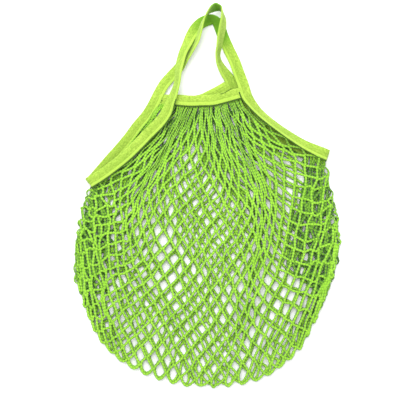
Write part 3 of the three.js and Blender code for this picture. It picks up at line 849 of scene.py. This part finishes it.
# %% Cotton material
SOFT = {"Sheen_Roughness": 0.5, "Specular_IOR_Level": 0.25}
CLOUDS = {"scale": 45.0, "detail": 4.0}
FLECKS = {"scale": 420.0, "detail": 2.0}


def principled(name, **inputs):
    material = bpy.data.materials.new(name)
    material.use_nodes = True
    tree = material.node_tree
    set_inputs(tree, tree.nodes["Principled BSDF"], **inputs)
    return material


def cotton(name, greens, roughness, sheen, fleck):
    """A cotton, its tree, and the socket of a green that noise varies between two tones."""
    material = principled(name, Roughness=roughness, Sheen_Weight=sheen, **SOFT)
    tree = material.node_tree
    place = add_node(tree, "ShaderNodeTexCoord").outputs["Object"]
    tone = maths(tree, "MULTIPLY_ADD", noise(tree, place, **FLECKS), fleck, -fleck / 2)
    tone = maths(tree, "ADD", noise(tree, place, **CLOUDS), tone)
    return material, tree, mix(tree, tone, *greens)


def show(tree, colour, height, strength, depth):
    """Gives a material its colour and a fine relief."""
    relief = add_node(tree, "ShaderNodeBump", Height=height, Strength=strength, Distance=depth).outputs[0]
    set_inputs(tree, tree.nodes["Principled BSDF"], Base_Color=colour, Normal=relief)


# %% Crocheted yarn
YARN_TWIST = 3.2 * MM
PLIES = 2.0
PLY_DEPTH = 0.25 * MM
STITCH_LENGTH = 4.5 * MM
WAIST_SHADE_SHARE = 0.3
BURIED_SHADE_SHARE = 0.9
SIDE_SHADE_SHARE = 0.75
YARN_GREENS = (0.17, 0.402, 0.015, 1), (0.355, 0.7, 0.046, 1)
PAINTED_SHADE_GREEN = (0.036, 0.128, 0.0045, 1)


def yarn_material():
    material, tree, green = cotton("cotton_yarn", YARN_GREENS, roughness=0.85, sheen=0.25, fleck=0.55)
    angle = maths(tree, "ARCTAN2", attribute(tree, "round_y"), attribute(tree, "round_x"))
    twisted = maths(tree, "MULTIPLY_ADD", angle, PLIES, turns_along(tree, "along", YARN_TWIST))
    # Painted shade at the narrow waist between two stitches
    stitches = maths(tree, "SINE", turns_along(tree, "along", STITCH_LENGTH))
    waist_shade = maths(tree, "MULTIPLY_ADD", stitches, -WAIST_SHADE_SHARE / 2, WAIST_SHADE_SHARE / 2)
    share = maths(tree, "MULTIPLY_ADD", attribute(tree, "shade"), BURIED_SHADE_SHARE, waist_shade)
    # Painted shade on the sides of each strand, lighter on its top
    normal = add_node(tree, "ShaderNodeNewGeometry").outputs["Normal"]
    upward = add_node(tree, "ShaderNodeSeparateXYZ", normal).outputs["Z"]
    side_shade = maths(tree, "SUBTRACT", 1.0, maths(tree, "ABSOLUTE", upward))
    share = maths(tree, "MULTIPLY_ADD", side_shade, SIDE_SHADE_SHARE, share)
    green = mix(tree, share, green, PAINTED_SHADE_GREEN)
    show(tree, green, maths(tree, "SINE", twisted), strength=0.5, depth=PLY_DEPTH)
    return material


cotton_yarn = yarn_material()

# %% Woven tape
WEAVE = 0.9 * MM
WEAVE_DEPTH = 0.15 * MM
THREAD_SHARE = 0.4
TAPE_GREENS = (0.205, 0.365, 0.03, 1), (0.395, 0.57, 0.075, 1)
BAND_GREENS = (0.225, 0.385, 0.032, 1), (0.42, 0.60, 0.08, 1)
STRIP_HIGHLIGHT_GREEN = (0.365, 0.56, 0.065, 1)
SLUB_AND_SHADE_GREEN = (0.11, 0.19, 0.01, 1)
TURNED_SHADE_GREEN = (0.09, 0.28, 0.004, 1)
TURNED_SHADE_TONE = 0.85
SLUB_STRETCH = (260, 900, 1)
SLUBS = {"scale": 1.0, "detail": 2.0}
GROOVE_PLACE = 3.4
BAND_GROOVE_PLACE = 1.6
HOLLOW_FROM_GROOVE = 3.5
HOLLOW_SHADE_REACH = (3.6, 0.6)
STRIP_BLUR = 0.5
STRIP_HIGHLIGHT_STRENGTH = 0.55
# Where a tone starts, where it is full and how strong it then is
SLUB_TONE = (0.42, 0.68, 0.55)
GROOVE_SHADE_TONE = (0.9, 0.2, 0.4)


def tape_material(name, greens, groove, hollow_shade_strength):
    """Woven tape with slubs, a paler strip along its sewn edge as a painted highlight, and painted shade
    in a stitched groove beside the strip, in a band next to the groove and where the tape turns over.
    """
    material, tree, green = cotton(name, greens, roughness=0.88, sheen=0.12, fleck=1.5)
    across = attribute(tree, "across")
    crosswise = turns_along(tree, "across", WEAVE)
    twill = maths(tree, "SINE", maths(tree, "ADD", turns_along(tree, "along", WEAVE), crosswise))
    weave = maths(tree, "MULTIPLY_ADD", maths(tree, "SINE", crosswise), THREAD_SHARE, twill)
    place = add_node(tree, "ShaderNodeCombineXYZ", X=attribute(tree, "along"), Y=across).outputs[0]
    place = add_node(tree, "ShaderNodeVectorMath", place, SLUB_STRETCH, operation="MULTIPLY").outputs[0]
    green = tint(tree, green, SLUB_AND_SHADE_GREEN, noise(tree, place, **SLUBS), *SLUB_TONE)
    toward_seam = maths(tree, "MULTIPLY", across, 1 / MM)
    # A soft band of painted shade beside the groove; the same green also tints the real slubs above
    from_hollow = distance_from(tree, toward_seam, groove - HOLLOW_FROM_GROOVE)
    green = tint(tree, green, SLUB_AND_SHADE_GREEN, from_hollow, *HOLLOW_SHADE_REACH, hollow_shade_strength)
    # A paler strip along the sewn edge: a painted highlight
    highlight_strip = (groove - STRIP_BLUR, groove + STRIP_BLUR, STRIP_HIGHLIGHT_STRENGTH)
    green = tint(tree, green, STRIP_HIGHLIGHT_GREEN, toward_seam, *highlight_strip)
    # Painted shade in the stitched groove
    green = tint(tree, green, SLUB_AND_SHADE_GREEN, distance_from(tree, toward_seam, groove), *GROOVE_SHADE_TONE)
    # Painted shade where the tape turns over
    turned_shade = maths(tree, "MULTIPLY", attribute(tree, "turned_shade"), TURNED_SHADE_TONE)
    show(tree, mix(tree, turned_shade, green, TURNED_SHADE_GREEN), weave, strength=0.35, depth=WEAVE_DEPTH)
    return material


cotton_tape = tape_material("cotton_tape", TAPE_GREENS, GROOVE_PLACE, hollow_shade_strength=0.22)
cotton_band = tape_material("cotton_band", BAND_GREENS, BAND_GROOVE_PLACE, hollow_shade_strength=0.1)

# %% Sewing thread
# The thread is a very dark green, so its stitches are painted shade: the shadow line along each seam
THREAD_SHADE_GREENS = (0.025, 0.07, 0.003, 1), (0.05, 0.12, 0.007, 1)
seam_shade_thread, tree, green = cotton("seam_shade_thread", THREAD_SHADE_GREENS, roughness=0.8, sheen=0.1, fleck=0.6)
set_inputs(tree, tree.nodes["Principled BSDF"], Base_Color=green)
print("materials:", [material.name for material in (cotton_yarn, cotton_tape, cotton_band, seam_shade_thread)])

# %% [markdown]
# ## Sweeping with Geometry Nodes
# A line of points becomes a solid when a section is swept along it. The yarn takes a round section that
# swells at each stitch of the chain and narrows where the chain is crowded. Each chain starts at another
# point of its stitch, so the stitches don't line up across the net. The tape takes a flat section with
# rounded edges and a shallow groove where it is stitched, and its normals are set, because the tape leans and
# turns over along its way. Each tree has named inputs for its sizes.

# %% Tree helpers
def new_tree(name, *sizes):
    """A tree with a geometry in and out, a size input for each name given, and a material."""
    tree = bpy.data.node_groups.new(name, "GeometryNodeTree")
    kinds = {"Geometry": "Geometry", **dict.fromkeys(sizes, "Float"), "Material": "Material"}
    tree.interface.new_socket("Geometry", in_out="OUTPUT", socket_type="NodeSocketGeometry")
    for label, kind in kinds.items():
        tree.interface.new_socket(label, in_out="INPUT", socket_type="NodeSocket" + kind)
    return tree, tree.nodes.new("NodeGroupInput").outputs


def step(tree, kind, **named):
    """One step of a Geometry Nodes tree, as the socket of its first result."""
    return add_node(tree, "GeometryNode" + kind, **named).outputs[0]


def stored(tree, name, kind="FLOAT"):
    return step(tree, "InputNamedAttribute", Name=name, data_type=kind)


def store(tree, geometry, name, value):
    settings = {"data_type": "FLOAT", "domain": "POINT"}
    return step(tree, "StoreNamedAttribute", Geometry=geometry, Name=name, Value=value, **settings)


def faced_curves(tree, sizes):
    """The lines as curves whose normals look the way that is stored with their points."""
    lines = step(tree, "MeshToCurve", Mesh=sizes["Geometry"])
    facing = stored(tree, "facing", "FLOAT_VECTOR")
    return step(tree, "SetCurveNormal", Curve=lines, Normal=facing, mode="FREE")


def curve_length(tree):
    return add_node(tree, "GeometryNodeSplineParameter").outputs["Length"]


def finish_tree(tree, sizes, geometry):
    geometry = step(tree, "SetShadeSmooth", Geometry=geometry)
    geometry = step(tree, "RealizeInstances", Geometry=geometry)
    geometry = step(tree, "SetMaterial", Geometry=geometry, Material=sizes["Material"])
    tree.links.new(geometry, tree.nodes.new("NodeGroupOutput").inputs[0])
    return tree


# %% Run a tree
def run_tree(name, tree, lines, sizes, material, values, closed=False):
    """Puts lines of points into a mesh, runs the tree on it and keeps the result as a plain mesh."""
    points = np.concatenate(lines) * MM
    edges = np.arange(len(points))[:, None] + [0, 1]
    last = np.cumsum([len(line) for line in lines]) - 1
    if closed:
        edges[last, 1] = 0
    else:
        edges = np.delete(edges, last, axis=0)
    mesh = bpy.data.meshes.new(name)
    mesh.from_pydata(points.tolist(), edges.tolist(), [])
    for label, value in values.items():
        kind, field = ("FLOAT_VECTOR", "vector") if value.ndim == 2 else ("FLOAT", "value")
        layer = mesh.attributes.new(label, kind, "POINT")
        layer.data.foreach_set(field, value.astype(np.float32).ravel())
    piece = bpy.data.objects.new(name, mesh)
    bpy.context.scene.collection.objects.link(piece)
    modifier = piece.modifiers.new(name, "NODES")
    modifier.node_group = tree
    settings = {**{label: float(size) for label, size in sizes.items()}, "Material": material}
    for item in tree.interface.items_tree:
        if item.in_out == "INPUT" and item.name in settings:
            modifier[item.identifier] = settings[item.name]
    graph = bpy.context.evaluated_depsgraph_get()
    result = bpy.data.meshes.new_from_object(piece.evaluated_get(graph))
    piece.modifiers.remove(modifier)
    piece.data = result
    result.name = name
    print(name, "has", sum(len(face.vertices) - 2 for face in result.polygons), "triangles")
    return piece


# %% Yarn tree
YARN_SIDES = 6


def yarn_tree():
    tree, sizes = new_tree("sweep_yarn", "Diameter", "Step", "Stitch Length", "Stitch Swell")
    lines = step(tree, "MeshToCurve", Mesh=sizes["Geometry"])
    lines = step(tree, "CurveSplineType", Curve=lines, spline_type="CATMULL_ROM")
    lines = step(tree, "ResampleCurve", Curve=lines, Length=sizes["Step"], mode="LENGTH")
    length = maths(tree, "ADD", curve_length(tree), stored(tree, "head_start"))
    lines = store(tree, lines, "along", length)
    radius = maths(tree, "MULTIPLY", sizes["Diameter"], 0.5)
    section = step(tree, "CurvePrimitiveCircle", Resolution=YARN_SIDES, Radius=radius)
    angle = maths(tree, "MULTIPLY", step(tree, "SplineParameter"), 2 * math.pi)
    section = store(tree, section, "round_x", maths(tree, "COSINE", angle))
    section = store(tree, section, "round_y", maths(tree, "SINE", angle))
    stitches = maths(tree, "DIVIDE", length, sizes["Stitch Length"])
    swell = maths(tree, "SINE", maths(tree, "MULTIPLY", stitches, 2 * math.pi))
    swell = maths(tree, "MULTIPLY_ADD", swell, sizes["Stitch Swell"], 1.0)
    scale = maths(tree, "MULTIPLY", stored(tree, "thickness"), swell)
    swept = step(tree, "CurveToMesh", Curve=lines, Profile_Curve=section, Scale=scale, Fill_Caps=True)
    return finish_tree(tree, sizes, swept)


# %% Sweep the net
YARN_STEP = 1.5 * MM
NET_PIECES = ("net_left", "net_middle_left", "net_middle_right", "net_right")
sweep_yarn = yarn_tree()
yarn_sizes = {
    "Diameter": YARN * MM, "Step": YARN_STEP, "Stitch Length": STITCH_LENGTH, "Stitch Swell": STITCH_SWELL,
}
head_starts = random.uniform(0, STITCH_LENGTH, HALF_COLUMNS)
head_start = [np.full(len(chain), start) for chain, start in zip(chains, head_starts)]
along = {"thickness": thickness, "shade": shade, "head_start": head_start}
net_pieces = []
for name, ids in zip(NET_PIECES, np.array_split(chain_ids, len(NET_PIECES))):
    part = slice(ids[0], ids[-1] + 1)
    values = {label: np.concatenate(each[part]) for label, each in along.items()}
    net_pieces.append(run_tree(name, sweep_yarn, chains[part], yarn_sizes, cotton_yarn, values))

# %% Tape tree
ROUNDING = 0.46
ROUNDING_POINTS = 3
SECTION_POINTS = 44


def tape_tree():
    tree, sizes = new_tree("sweep_tape", "Width", "Thickness", "Groove Place", "Groove Depth", "Groove Width")
    lines = store(tree, faced_curves(tree, sizes), "along", curve_length(tree))

    # The section has its thickness along X, where the sweep puts the normal, and its width along Y
    section = step(tree, "CurvePrimitiveQuadrilateral", Width=sizes["Thickness"], Height=sizes["Width"])
    radius = maths(tree, "MULTIPLY", sizes["Thickness"], ROUNDING)
    section = step(tree, "FilletCurve", Curve=section, Radius=radius, Count=ROUNDING_POINTS, mode="POLY")
    section = step(tree, "ResampleCurve", Curve=section, Count=SECTION_POINTS)
    place = add_node(tree, "ShaderNodeSeparateXYZ", step(tree, "InputPosition")).outputs
    section = store(tree, section, "across", place["Y"])
    share = maths(tree, "SUBTRACT", place["Y"], sizes["Groove Place"])
    share = maths(tree, "DIVIDE", share, sizes["Groove Width"])
    falloff = maths(tree, "MULTIPLY", maths(tree, "POWER", share, 2.0), -1.0)
    depth = maths(tree, "MULTIPLY", maths(tree, "EXPONENT", falloff), sizes["Groove Depth"])
    inward = maths(tree, "MULTIPLY", maths(tree, "SIGN", place["X"]), depth)
    push = add_node(tree, "ShaderNodeCombineXYZ", X=maths(tree, "MULTIPLY", inward, -1.0)).outputs[0]
    section = step(tree, "SetPosition", Geometry=section, Offset=push)
    swept = step(tree, "CurveToMesh", Curve=lines, Profile_Curve=section, Fill_Caps=True)
    return finish_tree(tree, sizes, swept)


# %% Sweep the handle tape
GROOVE_DEPTH = 0.28
GROOVE_WIDTH = 0.9
TAPE_STEPS = 6
sweep_tape = tape_tree()
tape_positions = np.arange(len(stations) * TAPE_STEPS) / TAPE_STEPS
tape_at, _, tape_face = tape_frame(tape_positions)
tape_sizes = {
    "Width": TAPE_WIDTH * MM, "Thickness": TAPE_THICKNESS * MM, "Groove Place": GROOVE_PLACE * MM,
    "Groove Depth": GROOVE_DEPTH * MM, "Groove Width": GROOVE_WIDTH * MM,
}

# The tape turns over where its inner edge is lifted past upright or pressed under; there its colour gets
# painted shade
UPRIGHT, OVER, UNDER = 88, 25, 5
lifts = np.array([row[3] if len(row) > 3 else 0 for row in [*stations, stations[0]]])
turned_shade = np.maximum(fade_from(lifts - UPRIGHT, OVER), fade_from(-lifts, UNDER))
values = {"turned_shade": np.interp(tape_positions, np.arange(len(lifts)), turned_shade), "facing": tape_face}
handle_tape = run_tree("handle_tape_woven", sweep_tape, [tape_at], tape_sizes, cotton_tape, values, True)

# %% Bands
BAND_STEPS = 40
band_sizes = {**tape_sizes, "Width": BAND_WIDTH * MM, "Groove Place": BAND_GROOVE_PLACE * MM}


def facing(side, count):
    return {"facing": np.tile(UP * side, (count, 1))}


def make_band(name, line, side):
    points = smooth(line, BAND_SAMPLES, BAND_STEPS)
    return run_tree(name, sweep_tape, [points], band_sizes, cotton_band, facing(side, BAND_STEPS))


front_band = make_band("front_band_woven", front_band_line, 1)
back_band = make_band("back_band_woven", back_band_line, -1)

# %% [markdown]
# ## Stitches of the seams
# The net is sewn in along the inner edge of the tape and the lower edge of each band. The thread pulls the
# edge down, and the seam shows as a dark dashed line of painted shade, the shadow where the net goes under:
# short rounded stitches in a very dark green stand a little aslant along it, one instance each. Under the bag
# they are pressed in, so they stay off the floor.

# %% Stitch tree
def stitch_tree():
    tree, sizes = new_tree("sew_stitches", "Pitch", "Stitch Length", "Stitch Width", "Slant")
    lines = faced_curves(tree, sizes)
    pitch, slant = sizes["Pitch"], sizes["Slant"]
    at = add_node(tree, "GeometryNodeCurveToPoints", Curve=lines, Length=pitch, mode="LENGTH").outputs
    aslant = add_node(tree, "FunctionNodeAxisAngleToRotation", Axis=(1, 0, 0), Angle=slant).outputs[0]
    rotation = add_node(
        tree, "FunctionNodeRotateRotation", Rotation=at["Rotation"], Rotate_By=aslant, rotation_space="LOCAL"
    ).outputs[0]
    grain = step(tree, "MeshUVSphere", Segments=8, Rings=6, Radius=0.5)
    width = sizes["Stitch Width"]
    scale = add_node(tree, "ShaderNodeCombineXYZ", X=width, Y=width, Z=sizes["Stitch Length"]).outputs[0]
    stitches = step(tree, "InstanceOnPoints", Points=at[0], Instance=grain, Rotation=rotation, Scale=scale)
    return finish_tree(tree, sizes, stitches)


# %% Sew the seams
SEAM_POINTS = 120
SEAM_RISE = 0.6
SEAM_OVER = 0.8
LOWEST_STITCH = np.array([-np.inf, -np.inf, 1.2])
SEAM_PARTS = [
    (FRONT_BAND_ENDS[0], 1), (FRONT_BAND_ENDS[1], RIGHT_TURN - 1),
    (RIGHT_TURN + 1, BACK_BAND_ENDS[1]), (BACK_BAND_ENDS[0], len(stations) - 1),
]
sew_stitches = stitch_tree()
stitch_sizes = {
    "Pitch": 2.9 * MM, "Stitch Length": 3.3 * MM, "Stitch Width": 1.9 * MM, "Slant": math.radians(12),
}


def sew(name, seams, values, sizes=stitch_sizes):
    seams = [np.maximum(seam, LOWEST_STITCH) for seam in seams]
    return run_tree(name, sew_stitches, seams, sizes, seam_shade_thread, values)


def sew_band(name, line, side):
    seam = below_band(line, SEAM_POINTS, SEAM_OVER, side * SEAM_RISE)
    return sew(name, [seam], facing(side, SEAM_POINTS))


seams, faces = zip(*[beside_tape(*ends, SEAM_POINTS, SEAM_OVER, SEAM_RISE) for ends in SEAM_PARTS])
tape_stitches = sew("tape_stitches", seams, {"facing": np.concatenate(faces)})

# A short row of dark stitches along the top edge of the front band near the right handles is painted shade
TACK_SHADE_LINE = np.array([(21.5, 145, 11.4), (26, 146.6, 11.5), (31, 149.4, 11.6), (35.2, 152, 11.6)]) + CAD_SHIFT
tack_shade_sizes = {**stitch_sizes, "Pitch": 3.0 * MM, "Stitch Length": 2.4 * MM, "Stitch Width": 1.3 * MM}
tack_shade_stitches = sew("tack_shade_stitches", [TACK_SHADE_LINE], facing(1, len(TACK_SHADE_LINE)), tack_shade_sizes)
front_stitches = sew_band("front_band_stitches", front_band_line, 1)
back_stitches = sew_band("back_band_stitches", back_band_line, -1)

# %% [markdown]
# ## Into the frame
# The bag has no joint, so every piece rides on the one body. Each piece hides the CAD solid it stands for,
# and the finish of the record that it shows is printed.

# %% Ride, replace and print the finish
for piece, node, slot in (
    *[(piece, "net", "net_yarn") for piece in net_pieces], (handle_tape, "handle_tape", "handle_tape"),
    (front_band, "front_band", "band_tape"), (back_band, "back_band", "band_tape"),
    (tape_stitches, "handle_tape", "handle_tape"), (front_stitches, "front_band", "band_tape"),
    (back_stitches, "back_band", "band_tape"), (tack_shade_stitches, "front_band", "band_tape"),
):
    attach(piece, "root")
    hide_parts(node)
    print(piece.name, "stands for", node, "and shows", slot)

# %% [markdown]
# ## Floor, light and camera
# The bag lies on a plain white surface under a large soft light from above its handles, and the camera looks
# straight down. The floor is lit until it is white, so that it shows bright through the mesh.

# %% Floor
FLOOR_SIZE = 6.0
FLOOR_CORNERS = [(-0.5, -0.5, 0), (0.5, -0.5, 0), (0.5, 0.5, 0), (-0.5, 0.5, 0)]
floor_mesh = bpy.data.meshes.new("floor")
floor_mesh.from_pydata((np.array(FLOOR_CORNERS) * FLOOR_SIZE).tolist(), [], [(0, 1, 2, 3)])
floor = bpy.data.objects.new("floor", floor_mesh)
bpy.context.scene.collection.objects.link(floor)
floor_mesh.materials.append(principled("white_paper", Base_Color=(0.93, 0.93, 0.94, 1), Roughness=0.95))
print("floor in metres:", FLOOR_SIZE, "across")

# %% Light
WINDOW_PLACE = (-0.35, 1.25, 1.5)
WINDOW_SIZE = 2.0
WINDOW_POWER = 50
WORLD_STRENGTH = 1.2
world = bpy.data.worlds.new("studio")
world.use_nodes = True
background = world.node_tree.nodes["Background"]
set_inputs(world.node_tree, background, Color=(1, 1, 1, 1), Strength=WORLD_STRENGTH)
bpy.context.scene.world = world
lamp = bpy.data.lights.new("window_light", "AREA")
lamp.shape = "DISK"
lamp.size = WINDOW_SIZE
lamp.energy = WINDOW_POWER
window = bpy.data.objects.new("window_light", lamp)
bpy.context.scene.collection.objects.link(window)
window.location = WINDOW_PLACE
window.rotation_euler = (-window.location).to_track_quat("-Z", "Y").to_euler()
print("window light in metres:", WINDOW_SIZE, "across, at", WINDOW_PLACE)

# %% Camera
# Millimetres to a pixel, pixels across the picture, and the pixel where the drawing has its origin
PIXEL = 1.43
PICTURE = 400
ORIGIN_AT = (206, 195.5)

SENSOR = 36.0
CAMERA_HEIGHT = 1.6
NET_HEIGHT = 8 * MM
view_middle = np.array([PICTURE / 2 - ORIGIN_AT[0], ORIGIN_AT[1] - PICTURE / 2]) * PIXEL + CAD_SHIFT[:2]
camera_data = bpy.data.cameras.new("camera")
camera_data.sensor_width = SENSOR
camera_data.lens = SENSOR * (CAMERA_HEIGHT - NET_HEIGHT) / (PICTURE * PIXEL * MM)
camera = bpy.data.objects.new("camera", camera_data)
camera.location = (*view_middle * MM, CAMERA_HEIGHT)
bpy.context.scene.collection.objects.link(camera)
bpy.context.scene.camera = camera
bpy.context.scene.view_settings.view_transform = "Standard"
print("lens in mm:", round(camera_data.lens, 1))
